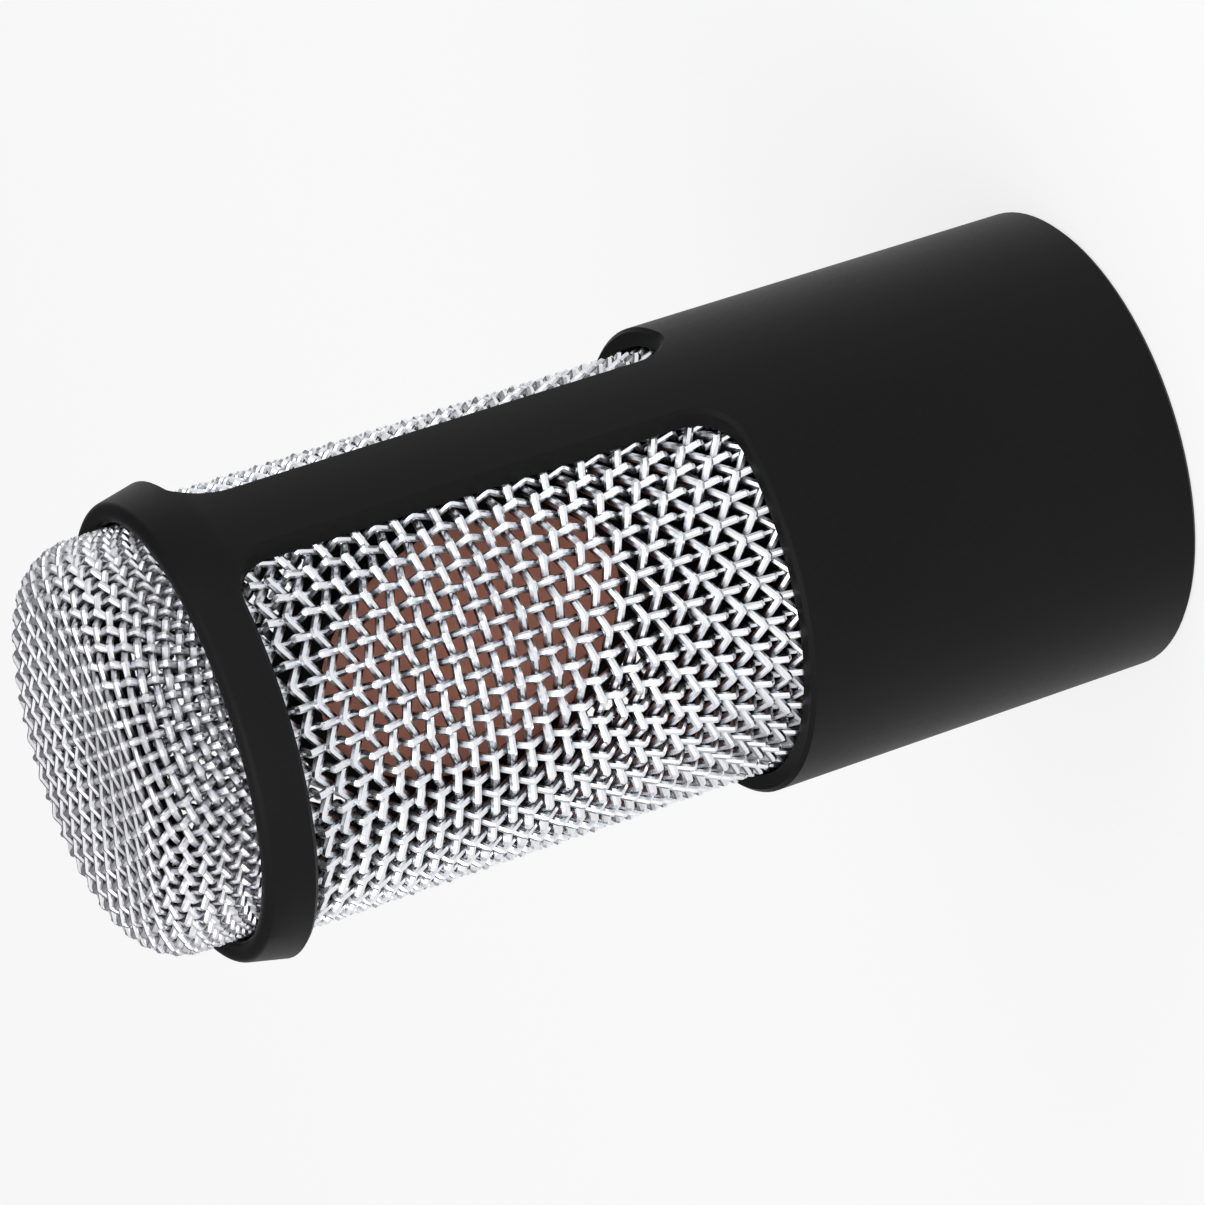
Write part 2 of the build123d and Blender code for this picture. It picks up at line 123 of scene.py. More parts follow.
@dataclass(frozen=True)
class Finish:
    """One real material with its surface treatment.

    The fine pattern mixes the two colours, moves the roughness between its two values and lifts the
    surface by depth_mm. A second pattern, broad times coarser, adds the slow variation of a real part.
    On a woven wire, a painted shade colour is laid where it dives under its neighbours and on its flanks.
    """

    name: str
    dark: str
    light: str
    roughness: tuple[float, float]
    grain_mm: float
    depth_mm: float
    metallic: float = 0.0
    ior: float = 1.5
    specular: float = 0.5
    coat: float = 0.0
    coat_roughness: float = 0.1
    pattern: Pattern = Pattern.GRAIN
    broad: float = 12.0
    # painted shade colour for a woven wire's hollows and flanks
    painted_shade: str = "#3C3E42"

    def place(self, tree: bpy.types.NodeTree) -> bpy.types.NodeSocket:
        """Lay the pattern's coordinates on the surface.

        Args:
            tree: the material's node tree.

        Returns:
            Coordinates in which one unit is one grain.
        """
        where = add_node(tree, "ShaderNodeTexCoord")
        per_metre = 1 / (self.grain_mm * MM)
        if self.pattern is Pattern.TURNED:
            apart = add_node(tree, "ShaderNodeSeparateXYZ", {0: where.outputs["Object"]})
            flat = add_node(tree, "ShaderNodeCombineXYZ", {0: apart.outputs[0], 1: apart.outputs[1]})
            reach = add_node(tree, "ShaderNodeVectorMath", {0: flat.outputs[0]}, operation="LENGTH")
            source = add_node(
                tree, "ShaderNodeCombineXYZ", {0: reach.outputs["Value"], 1: 0.0, 2: apart.outputs[2]}
            ).outputs[0]
            scale = (per_metre, 1.0, per_metre)
        elif self.pattern is Pattern.WIRE:
            source = where.outputs["UV"]
            scale = (per_metre / WIRE_STRETCH, per_metre, 1.0)
        else:
            source = where.outputs["Object"]
            stretches = {Pattern.DRAWN: (1, 1, 0.05), Pattern.LAYERED: (1, 0.02, 0.02)}
            stretch = stretches.get(self.pattern, (1, 1, 1))
            scale = tuple(per_metre * s for s in stretch)
        return add_node(tree, "ShaderNodeMapping", {"Vector": source, "Scale": scale}).outputs[0]

    def build(self) -> bpy.types.Material:
        """Make the material.

        Returns:
            A material with colour, roughness and relief from the pattern.
        """
        material = bpy.data.materials.new(self.name)
        material.use_nodes = True
        tree = material.node_tree
        tree.nodes.clear()
        spot = self.place(tree)
        fine = add_node(
            tree, "ShaderNodeTexNoise", {"Vector": spot, "Scale": 1.0, "Detail": 3.0, "Roughness": 0.55}
        )
        shrunk = add_node(
            tree, "ShaderNodeVectorMath", {0: spot, "Scale": 1 / self.broad}, operation="SCALE"
        ).outputs["Vector"]
        slow = add_node(tree, "ShaderNodeTexNoise", {"Vector": shrunk, "Scale": 1.0, "Detail": 2.0})
        height = fine.outputs[0]
        if self.pattern is Pattern.TRACKS:
            runs = add_node(
                tree, "ShaderNodeTexBrick",
                {"Vector": self.flat_board(tree), "Scale": 1.0, "Mortar Size": 0.16, "Mortar Smooth": 0.3,
                 "Brick Width": 3.1, "Row Height": 1.3},
            )
            height = runs.outputs["Fac"]
        blend = add_node(
            tree, "ShaderNodeMix", {"Factor": SLOW_SHARE, 2: height, 3: slow.outputs[0]}, data_type="FLOAT"
        ).outputs[0]
        tone = add_node(tree, "ShaderNodeValToRGB", {0: blend})
        low, high = tone.color_ramp.elements
        low.position, high.position = TONE_SPAN
        low.color, high.color = linear(self.dark), linear(self.light)
        colour = tone.outputs[0]
        # woven wires get painted shade in their hollows and on their flanks
        if self.pattern is Pattern.WIRE:
            colour = self.paint_shade_in_hollows(tree, colour)
        rough = add_node(
            tree, "ShaderNodeMapRange",
            {"Value": blend, "From Min": ROUGH_SPAN[0], "From Max": ROUGH_SPAN[1],
             "To Min": self.roughness[0], "To Max": self.roughness[1]},
        )
        relief = add_node(
            tree, "ShaderNodeBump", {"Height": height, "Strength": 1.0, "Distance": self.depth_mm * MM}
        )
        shader = add_node(
            tree, "ShaderNodeBsdfPrincipled",
            {"Base Color": colour, "Roughness": rough.outputs[0], "Normal": relief.outputs[0],
             "Metallic": self.metallic, "IOR": self.ior, "Specular IOR Level": self.specular,
             "Coat Weight": self.coat, "Coat Roughness": self.coat_roughness},
        )
        add_node(tree, "ShaderNodeOutputMaterial", {"Surface": shader.outputs[0]})
        return material

    def paint_shade_in_hollows(self, tree: bpy.types.NodeTree, colour: bpy.types.NodeSocket) -> bpy.types.NodeSocket:
        """Paint shade on a woven wire where it dives under its neighbours, and on its flanks.

        Args:
            tree: the material's node tree.
            colour: the polished colour.

        Returns:
            The polished colour at the outer bends, falling to the painted shade colour deep in the weave
            and on the flanks.
        """
        wave = add_node(tree, "ShaderNodeAttribute", attribute_name="weave_height")
        unshaded_share = add_node(
            tree, "ShaderNodeMapRange",
            {"Value": wave.outputs["Fac"], "From Min": PAINTED_SHADE_SPAN[0], "From Max": PAINTED_SHADE_SPAN[1],
             "To Min": 0.0, "To Max": 1.0},
            interpolation_type="SMOOTHSTEP",
        )
        # mix in the painted shade colour where the weave height is low
        return add_node(
            tree, "ShaderNodeMix",
            {"Factor": unshaded_share.outputs[0], 6: linear(self.painted_shade), 7: colour}, data_type="RGBA"
        ).outputs[2]

    def flat_board(self, tree: bpy.types.NodeTree) -> bpy.types.NodeSocket:
        """Turn the board's upright face (X and Z) into the flat plane that copper runs are drawn on.

        Args:
            tree: the material's node tree.

        Returns:
            Coordinates in millimetres.
        """
        where = add_node(tree, "ShaderNodeTexCoord")
        apart = add_node(tree, "ShaderNodeSeparateXYZ", {0: where.outputs["Object"]})
        flat = add_node(tree, "ShaderNodeCombineXYZ", {0: apart.outputs[0], 1: apart.outputs[2]})
        return add_node(
            tree, "ShaderNodeVectorMath", {0: flat.outputs[0], "Scale": 1 / MM}, operation="SCALE"
        ).outputs["Vector"]


# Satin powder coat: soft wide highlights and a faint orange-peel grain, never a mirror.
BLACK_POWDER_COAT = Finish(
    "powder_coated_aluminium_satin_black", "#0A0A0B", "#0F0F0F", (0.44, 0.52), 0.35, 0.002, specular=0.11,
    broad=60.0
)
# Drawn and polished stainless wire: bright whites, a few lengthwise lines, no colour of its own.
POLISHED_WIRE = Finish(
    "polished_stainless_wire_drawn", "#DFE2E8", "#F6F7F9", (0.23, 0.31), 0.09, 0.0005, metallic=1.0,
    pattern=Pattern.WIRE, broad=9.0
)
# The cap's wire is the same steel as the side weave, in greyer colours that are painted shade to make the
# dome darker; its rougher finish gives broader and softer highlights, and its near-black hollow colour is
# painted shade in the crown's gaps.
DOME_WIRE_WITH_PAINTED_SHADE = Finish(
    "stainless_wire_dome_painted_shade", "#CDCDD2", "#E6E6EA", (0.30, 0.38), 0.09, 0.0008, metallic=1.0,
    painted_shade="#141416", pattern=Pattern.WIRE, broad=9.0
)
# Black oxide on steel: dull and almost without highlights, so that it vanishes behind the weave.
BLACK_OXIDE = Finish(
    "black_oxide_steel_matt", "#040404", "#070707", (0.55, 0.68), 0.25, 0.002, specular=0.12
)
# Lathe-turned aluminium, blasted and anodised: pale grey with fine rings.
TURNED_ALUMINIUM = Finish(
    "anodised_aluminium_turned", "#A7A9AC", "#C3C4C6", (0.30, 0.42), 0.18, 0.003, metallic=1.0,
    pattern=Pattern.TURNED
)
# Black anodised ring: dark metal whose rings catch a thin bright line.
BLACK_ANODISED = Finish(
    "black_anodised_aluminium_turned", "#1B1B1D", "#2C2C2F", (0.28, 0.40), 0.16, 0.003, metallic=1.0,
    pattern=Pattern.TURNED
)
# Milled bar: straight cutter lines along its length.
MILLED_ALUMINIUM = Finish(
    "aluminium_bar_milled", "#B4B6B8", "#D0D1D2", (0.26, 0.40), 0.15, 0.004, metallic=1.0,
    pattern=Pattern.DRAWN
)
# Spring steel as stamped: darker, slightly blue grey.
SPRING_STEEL = Finish(
    "spring_steel_stamped", "#6E7276", "#8B8E92", (0.28, 0.40), 0.2, 0.002, metallic=1.0
)
# Satin nickel over die casting: warm grey, soft grain.
SATIN_NICKEL = Finish(
    "nickel_plated_zinc_satin", "#B5B0A6", "#CDC9C0", (0.24, 0.34), 0.22, 0.002, metallic=1.0,
    pattern=Pattern.TURNED
)
# Zinc-plated screws: bright with a mottled bluish bloom.
ZINC_PLATE = Finish(
    "zinc_plated_steel_rolled", "#A9ADB2", "#C9CBCE", (0.22, 0.36), 0.3, 0.003, metallic=1.0
)
# Glass-filled nylon: matt black with a coarse moulded texture.
BLACK_NYLON = Finish(
    "glass_filled_nylon_moulded", "#101010", "#1A1A1A", (0.48, 0.62), 0.3, 0.006, ior=1.53
)
# Gold flash over brass: warm and glossy.
GOLD_FLASH = Finish(
    "gold_plated_brass_turned", "#D6A84C", "#EBC56E", (0.14, 0.24), 0.12, 0.0015, metallic=1.0,
    pattern=Pattern.TURNED
)
# Solder mask over copper: dark green gaps, lighter green runs standing a little proud, glossy.
SOLDER_MASK = Finish(
    "glass_epoxy_board_solder_mask", "#0E3B1E", "#1F6A37", (0.22, 0.32), 0.4, 0.03, ior=1.55, coat=0.4,
    pattern=Pattern.TRACKS
)
# Varnished laminations: brown-black sheets with their edges showing.
VARNISHED_CORE = Finish(
    "silicon_steel_laminations_varnished", "#2B2622", "#5A524A", (0.30, 0.45), 0.5, 0.03, specular=0.6,
    pattern=Pattern.LAYERED
)
# Dipped epoxy: thick glossy red skin, a little uneven.
DIPPED_EPOXY = Finish(
    "film_capacitor_dipped_epoxy", "#7E1B14", "#A32C20", (0.14, 0.22), 1.4, 0.03, ior=1.55, coat=0.3
)
# Shrink sleeve: thin dark blue film, smooth.
SHRINK_SLEEVE = Finish(
    "polyester_shrink_sleeve", "#15244E", "#1D3268", (0.20, 0.30), 0.8, 0.008, ior=1.57
)
# Moulded epoxy case: grey-black, fine grain.
EPOXY_CASE = Finish("transistor_epoxy_moulded", "#18181A", "#242426", (0.38, 0.50), 0.15, 0.003)
# Insulated hook-up wire: off-white waxy skin.
HOOK_UP_INSULATION = Finish(
    "fluoropolymer_wire_insulation_extruded", "#B9B6AE", "#D2CFC8", (0.28, 0.38), 0.5, 0.004, ior=1.38
)
# Turned fluoropolymer: chalky white with faint tool rings.
WHITE_FLUOROPOLYMER = Finish(
    "fluoropolymer_turned", "#DAD9D5", "#EDECE8", (0.42, 0.55), 0.2, 0.004, ior=1.38, pattern=Pattern.TURNED
)
# Soft rubber: no shine, dusty black.
SOFT_RUBBER = Finish(
    "isolator_rubber_moulded", "#141414", "#202020", (0.72, 0.86), 0.25, 0.006, ior=1.52, specular=0.3
)
# Moulded holder: matt black polymer, darker than the housing.
BLACK_POLYMER = Finish(
    "acetal_holder_moulded", "#040404", "#080808", (0.50, 0.62), 0.25, 0.003, ior=1.48, specular=0.12
)
# Metallised film stretched over the capsule: an even light red-brown with a very fine speckle and
# hardly any gloss.
BROWN_FILM = Finish(
    "metallised_film_stretched_brown", "#CE846E", "#DC937D", (0.52, 0.60), 0.22, 0.0008, ior=1.6,
    specular=0.22, broad=30.0
)
# Lapped brass: flat yellow metal with a soft random scratch.
LAPPED_BRASS = Finish(
    "brass_backplate_lapped", "#B08A3C", "#C9A35A", (0.20, 0.32), 0.2, 0.0015, metallic=1.0
)

# The record's material slot for each finish.
SLOTS = {
    "black_housing": BLACK_POWDER_COAT,
    "mesh_steel": POLISHED_WIRE,
    "black_metal": BLACK_OXIDE,
    "turned_aluminium": TURNED_ALUMINIUM,
    "black_aluminium": BLACK_ANODISED,
    "rail_aluminium": MILLED_ALUMINIUM,
    "spring_steel": SPRING_STEEL,
    "nickel_shell": SATIN_NICKEL,
    "screw_steel": ZINC_PLATE,
    "black_insert": BLACK_NYLON,
    "contact_gold": GOLD_FLASH,
    "board_laminate": SOLDER_MASK,
    "transformer_core": VARNISHED_CORE,
    "film_capacitor": DIPPED_EPOXY,
    "can_sleeve": SHRINK_SLEEVE,
    "transistor_case": EPOXY_CASE,
    "lead_sleeve": HOOK_UP_INSULATION,
    "bushing_white": WHITE_FLUOROPOLYMER,
    "isolator_rubber": SOFT_RUBBER,
    "black_holder": BLACK_POLYMER,
    "capsule_face": BROWN_FILM,
    "backplate_brass": LAPPED_BRASS,
}


# ---- wires ---------------------------------------------------------------------------------------


@dataclass
class Strand:
    """One wire's path: its centre line, the outward direction and the weave height (-1 under, +1 over)
    at each point, and whether it closes."""

    centre: np.ndarray
    outward: np.ndarray
    height: np.ndarray
    closed: bool = False


@dataclass
class WireForm:
    """The cross-section of a wire: a slightly flattened octagon with a flat side facing outwards."""

    half_wide: float
    half_high: float
    sides: int = 8

    def sweep(
        self, strand: Strand
    ) -> tuple[np.ndarray, np.ndarray, np.ndarray, np.ndarray, list[np.ndarray]]:
        """Carry the section along a strand.

        The tangent t is the difference of neighbouring points. The side direction is t x outward and
        the section's height direction is side x t. A point of ring i at angle a is
        centre + height * half_high * cos a + side * half_wide * sin a, both divided by cos(pi / sides)
        so that the flats, not the corners, lie at the stated half sizes. Quads join each ring to the
        next, and an open strand is closed by one flat face at each end. A point's weave height is its
        ring's, plus the flank shade share times cos a, and it sets how much painted shade the point gets.

        Args:
            strand: the path to follow.

        Returns:
            Points, their weave height, quads, the quads' UV corners in millimetres, and the end faces.
        """
        count = len(strand.centre)
        if strand.closed:
            ahead = np.roll(strand.centre, -1, 0) - np.roll(strand.centre, 1, 0)
        else:
            ahead = np.gradient(strand.centre, axis=0)
        ahead = ahead / np.linalg.norm(ahead, axis=1, keepdims=True)
        side = np.cross(ahead, strand.outward)
        side = side / np.linalg.norm(side, axis=1, keepdims=True)
        height = np.cross(side, ahead)
        angles = (np.arange(self.sides) + 0.5) * 2 * pi / self.sides
        corner = 1 / cos(pi / self.sides)
        section = (
            height[:, None] * (self.half_high * corner * np.cos(angles))[None, :, None]
            + side[:, None] * (self.half_wide * corner * np.sin(angles))[None, :, None]
        )
        points = (strand.centre[:, None] + section).reshape(-1, 3)
        # weave height with the flanks lowered, which drives the painted shade on the wire
        level = (strand.height[:, None] + FLANK_SHADE_SHARE * np.cos(angles)[None]).ravel()
        spans = count if strand.closed else count - 1
        i, j = (g.ravel() for g in np.meshgrid(np.arange(spans), np.arange(self.sides), indexing="ij"))
        after = (i + 1) % count
        around = (j + 1) % self.sides
        quads = np.stack(
            [i * self.sides + j, i * self.sides + around,
             after * self.sides + around, after * self.sides + j], 1
        )
        steps = np.linalg.norm(np.diff(strand.centre, axis=0, append=strand.centre[:1]), axis=1)
        along = np.concatenate([[0.0], np.cumsum(steps)])
        turn = 2 * pi * self.half_high / self.sides
        uv = np.stack(
            [np.stack([along[i], along[i], along[i + 1], along[i + 1]], 1),
             np.stack([j * turn, (j + 1) * turn, (j + 1) * turn, j * turn], 1)], 2
        )
        ends = []
        if not strand.closed:
            ring = np.arange(self.sides)
            ends = [ring[::-1], ring + (count - 1) * self.sides]
        return points, level, quads, uv, ends


def mesh_of_strands(name: str, strands: list[Strand], form: WireForm) -> bpy.types.Object:
    """Make one object from many wires.

    Args:
        name: the piece's name.
        strands: the wires' paths in millimetres.
        form: their cross-section in millimetres.

    Returns:
        The object, at the origin, with its UV map in metres.
    """
    points, levels, quads, uvs, ends = [], [], [], [], []
    base = 0
    for strand in strands:
        p, level, q, uv, caps = form.sweep(strand)
        points.append(p)
        levels.append(level)
        quads.append(q + base)
        uvs.append(uv)
        ends.extend(cap + base for cap in caps)
        base += len(p)
    all_points = np.concatenate(points) * MM
    all_quads = np.concatenate(quads)
    corners = [all_quads.ravel()] + ends
    sizes = np.concatenate([np.full(len(all_quads), 4), np.full(len(ends), form.sides)]).astype(np.int32)
    starts = np.concatenate([[0], np.cumsum(sizes)[:-1]]).astype(np.int32)
    loops = np.concatenate(corners).astype(np.int32)
    mesh = bpy.data.meshes.new(name)
    mesh.vertices.add(len(all_points))
    mesh.vertices.foreach_set("co", all_points.astype(np.float32).ravel())
    mesh.loops.add(len(loops))
    mesh.loops.foreach_set("vertex_index", loops)
    mesh.polygons.add(len(sizes))
    mesh.polygons.foreach_set("loop_start", starts)
    mesh.update(calc_edges=True)
    uv_values = np.zeros((len(loops), 2), np.float32)
    uv_values[: all_quads.size] = np.concatenate(uvs).reshape(-1, 2) * MM
    mesh.uv_layers.new(name="along_wire").data.foreach_set("uv", uv_values.ravel())
    # weave height per point, read by the wire material to paint shade in the hollows and on the flanks
    mesh.attributes.new("weave_height", "FLOAT", "POINT").data.foreach_set(
        "value", np.concatenate(levels).astype(np.float32)
    )
    mesh.polygons.foreach_set("use_smooth", np.zeros(len(sizes), bool))
    mesh.validate()
    piece = bpy.data.objects.new(name, mesh)
    bpy.context.collection.objects.link(piece)
    return piece


def crossing_steps(first: float, last: float, soften: float) -> np.ndarray:
    """Stations along a woven wire, in crossings: one at each bend and one a little to each side of it.

    Args:
        first: where the wire starts.
        last: where it ends.
        soften: how far from the bend the side stations are.

    Returns:
        Rising positions from first to last.
    """
    bends = np.arange(np.floor(first), np.ceil(last) + 1)
    stations = (bends[:, None] + np.array([-soften, 0.0, soften])).ravel()
    inside = stations[(stations > first + END_CLEARANCE) & (stations < last - END_CLEARANCE)]
    return np.concatenate([[first], inside, [last]])


def zigzag(position: np.ndarray, soften: float) -> np.ndarray:
    """Height of a woven wire: +1 over an even crossing, -1 under an odd one, straight between them.

    The straight run is 1 - 2d at distance d from the nearest even crossing. Within soften of a bend the
    tip is blunted by a fifth of the height that the straight run would still have gained.

    Args:
        position: stations in crossings.
        soften: half width of a bend.

    Returns:
        One height for each station, between -1 and 1.
    """
    distance = np.abs((position + 1) % 2 - 1)
    run = 1 - 2 * distance
    excess = np.clip(np.abs(run) - (1 - 2 * soften), 0, None)
    return run - np.sign(run) * BLUNT_SHARE * excess


@dataclass
class SideWeave:
    """The plain-woven wire tube behind the windows: hoops round the body and straight wires up it."""

    crest_radius: float = 22.0
    hoop: WireForm = field(default_factory=lambda: WireForm(0.43, 0.43))
    upright: WireForm = field(default_factory=lambda: WireForm(0.37, 0.37))
    swing: float = 0.69
    uprights: int = 64
    turn: float = 0.1
    first_hoop: float = 41.53
    hoop_pitch: float = 1.896
    hoops: int = 29
    swell_height: float = 66.5
    soften: float = 0.07
    below: float = 0.05
    short_of: float = 0.2

    @property
    def mean_radius(self) -> float:
        """Radius midway between the hoops' outer and inner bends."""
        return self.crest_radius - self.hoop.half_high - self.swing

    def strand(self, angle: np.ndarray, level: np.ndarray, wave: np.ndarray, closed: bool) -> Strand:
        """Place a woven wire on the tube.

        A bend moves along the line from the middle of the weave through the point, so besides moving
        out by height = swing * wave it moves along Z by height * (level - swell_height) / mean_radius.

        Args:
            angle: angle round Z at each station, in radians.
            level: height up the body, in millimetres.
            wave: weave height, -1 under to +1 over.
            closed: whether the wire is a hoop.

        Returns:
            The wire's strand.
        """
        height = self.swing * wave
        radius = self.mean_radius + height
        slope = (level - self.swell_height) / self.mean_radius
        centre = np.stack([radius * np.cos(angle), radius * np.sin(angle), level + height * slope], 1)
        outward = np.stack([np.cos(angle), np.sin(angle), slope], 1)
        return Strand(centre, outward / np.linalg.norm(outward, axis=1, keepdims=True), wave, closed)

    def build_hoops(self) -> bpy.types.Object:
        """Make the hoops, each one over and under the uprights and one step out of turn with the next."""
        stations = crossing_steps(-0.5, self.uprights - 0.5, self.soften)[1:]
        angle = radians(self.turn) + stations * 2 * pi / self.uprights
        strands = []
        for row in range(self.hoops):
            level = np.full_like(angle, self.first_hoop + row * self.hoop_pitch)
            strands.append(self.strand(angle, level, zigzag(stations + row + 1, self.soften), True))
        return mesh_of_strands("side_weave_hoops", strands, self.hoop)

    def build_uprights(self) -> bpy.types.Object:
        """Make the uprights, which bend the opposite way to the hoops at every crossing.

        They start a little below the first hoop and end short of where the next one would be.
        """
        stations = crossing_steps(-self.below, self.hoops - self.short_of, self.soften)
        strands = []
        for column in range(self.uprights):
            wave = -zigzag(stations + column + 1, self.soften)
            angle = np.full_like(stations, radians(self.turn) + column * 2 * pi / self.uprights)
            strands.append(self.strand(angle, self.first_hoop + stations * self.hoop_pitch, wave, False))
        return mesh_of_strands("side_weave_uprights", strands, self.upright)


@dataclass
class DomeWeave:
    """The plain-woven cap: cloth pressed over the dome, its wires drawn together towards the skirt."""

    radius: float = 20.6
    shoulder: float = 5.6
    shoulder_level: float = 103.6
    top: float = 109.6
    foot: float = 98.2
    form: WireForm = field(default_factory=lambda: WireForm(0.36, 0.34))
    crown_swing: float = 0.48
    skirt_swing: float = 0.56
    swell_height: float = 101.3
    pitch: float = 2.08
    drawn_in: float = 32.5
    turn: float = 44.5
    offset: tuple[float, float] = (0.1, -0.18)
    soften: float = 0.07
    edge_margin: float = 1.5

    @property
    def crown(self) -> tuple[float, float, float]:
        """The crown's arc: how far its centre lies below the shoulder, its radius, and its half angle."""
        across = self.radius - self.shoulder
        rise = self.top - self.shoulder_level - self.shoulder
        drop = (across**2 - rise**2) / (2 * rise)
        return drop, drop + self.top - self.shoulder_level, float(np.arctan2(across, drop))

    def profile(self, arc: np.ndarray) -> tuple[np.ndarray, np.ndarray, np.ndarray]:
        """Follow the dome's outline from its centre.

        The outline is a shallow arc over the crown, a round shoulder and a straight tube down to the
        foot, each tangent to the next. The slope angle grows from 0 at the centre to 90 degrees at the
        tube.

        Args:
            arc: distance from the centre along the outline, in millimetres.

        Returns:
            Radius, height and slope angle.
        """
        drop, crown, crown_angle = self.crown
        crown_arc = crown * crown_angle
        shoulder_arc = crown_arc + self.shoulder * (pi / 2 - crown_angle)
        on_crown = arc < crown_arc
        beyond = np.minimum(crown_angle + (arc - crown_arc) / self.shoulder, pi / 2)
        slope = np.where(on_crown, arc / crown, beyond)
        radius = np.where(
            on_crown, crown * np.sin(slope), self.radius - self.shoulder + self.shoulder * np.sin(slope)
        )
        level = np.where(
            on_crown,
            self.shoulder_level - drop + crown * np.cos(slope),
            self.shoulder_level + self.shoulder * np.cos(slope) - np.clip(arc - shoulder_arc, 0, None),
        )
        return radius, level, slope

    def reach(self) -> float:
        """Distance along the outline from the centre to the foot."""
        _, crown, crown_angle = self.crown
        rounded = crown * crown_angle + self.shoulder * (pi / 2 - crown_angle)
        return rounded + self.shoulder_level - self.foot

    def cloth(self, arc: np.ndarray) -> np.ndarray:
        """Distance in the flat cloth for a distance on the dome: arc + arc cubed / (3 drawn_in squared)."""
        return arc + arc**3 / (3 * self.drawn_in**2)

    def strand(self, x: np.ndarray, y: np.ndarray, wave: np.ndarray) -> Strand:
        """Lay one wire of the flat cloth on the dome.

        A point's distance from the cloth's centre becomes an arc length on the dome, at the same
        bearing. The bend then moves it along the line from the dome's inner centre, by a swing that
        grows from the crown to the skirt with the square of the radius, and the whole wire is set in
        along the surface's normal so that the outer bends just touch the outline.

        Args:
            x: first coordinate in the flat cloth, in millimetres.
            y: second coordinate.
            wave: weave height, -1 under to +1 over.

        Returns:
            The wire's strand.
        """
        table = np.linspace(0, self.reach() + 1, TABLE_POINTS)
        arc = np.interp(np.hypot(x, y), self.cloth(table), table)
        bearing = np.arctan2(y, x) + radians(self.turn)
        radius, level, slope = self.profile(arc)
        away = np.stack([radius, level - self.swell_height], 1)
        away = away / np.linalg.norm(away, axis=1, keepdims=True)
        normal = np.stack([np.sin(slope), np.cos(slope)], 1)
        swing = self.crown_swing + (self.skirt_swing - self.crown_swing) * (radius / self.radius) ** 2
        inset = self.form.half_high + swing * np.sum(away * normal, 1)
        place = np.stack([radius, level], 1) - inset[:, None] * normal + (swing * wave)[:, None] * away
        cosine, sine = np.cos(bearing), np.sin(bearing)
        centre = np.stack([place[:, 0] * cosine, place[:, 0] * sine, place[:, 1]], 1)
        outward = np.stack([normal[:, 0] * cosine, normal[:, 0] * sine, normal[:, 1]], 1)
        return Strand(centre, outward, wave)

    def build(self) -> list[bpy.types.Object]:
        """Make both families of wires."""
        limit = float(self.cloth(np.array(self.reach())))
        pieces = []
        for family, label in enumerate(("dome_weave_warp", "dome_weave_weft")):
            strands = []
            own, other = self.offset[family], self.offset[1 - family]
            first = np.ceil((self.edge_margin - limit - own) / self.pitch)
            last = np.floor((limit - self.edge_margin - own) / self.pitch)
            lines = np.arange(first, last + 1)
            for line in lines:
                sideways = own + line * self.pitch
                half = np.sqrt(limit**2 - sideways**2)
                ends = (-half - other) / self.pitch, (half - other) / self.pitch
                stations = crossing_steps(*ends, self.soften)
                along = other + stations * self.pitch
                across = np.full_like(along, sideways)
                wave = zigzag(stations + line + family + 1, self.soften)
                strands.append(self.strand(*((across, along) if family == 0 else (along, across)), wave))
            pieces.append(mesh_of_strands(label, strands, self.form))
        return pieces


# ---- stage, lights and camera --------------------------------------------------------------------


@dataclass
class Softbox:
    """A large diffused studio light, aimed at the object."""

    azimuth: float
    elevation: float
    distance: float
    width: float
    height: float
    watts: float
    colour: str = "#FFFFFF"

    def build(self, number: int) -> None:
        """Place the light on a sphere round the object, facing its middle."""
        data = bpy.data.lights.new(f"softbox_{number}", "AREA")
        data.shape = "RECTANGLE"
        data.size, data.size_y = self.width, self.height
        data.energy = self.watts
        data.color = linear(self.colour)[:3]
        lamp = bpy.data.objects.new(data.name, data)
        a, e = radians(self.azimuth), radians(self.elevation)
        direction = Vector((cos(e) * cos(a), cos(e) * sin(a), sin(e)))
        lamp.location = LAMP_AIM + direction * self.distance
        lamp.rotation_euler = direction.to_track_quat("Z", "Y").to_euler()
        bpy.context.collection.objects.link(lamp)


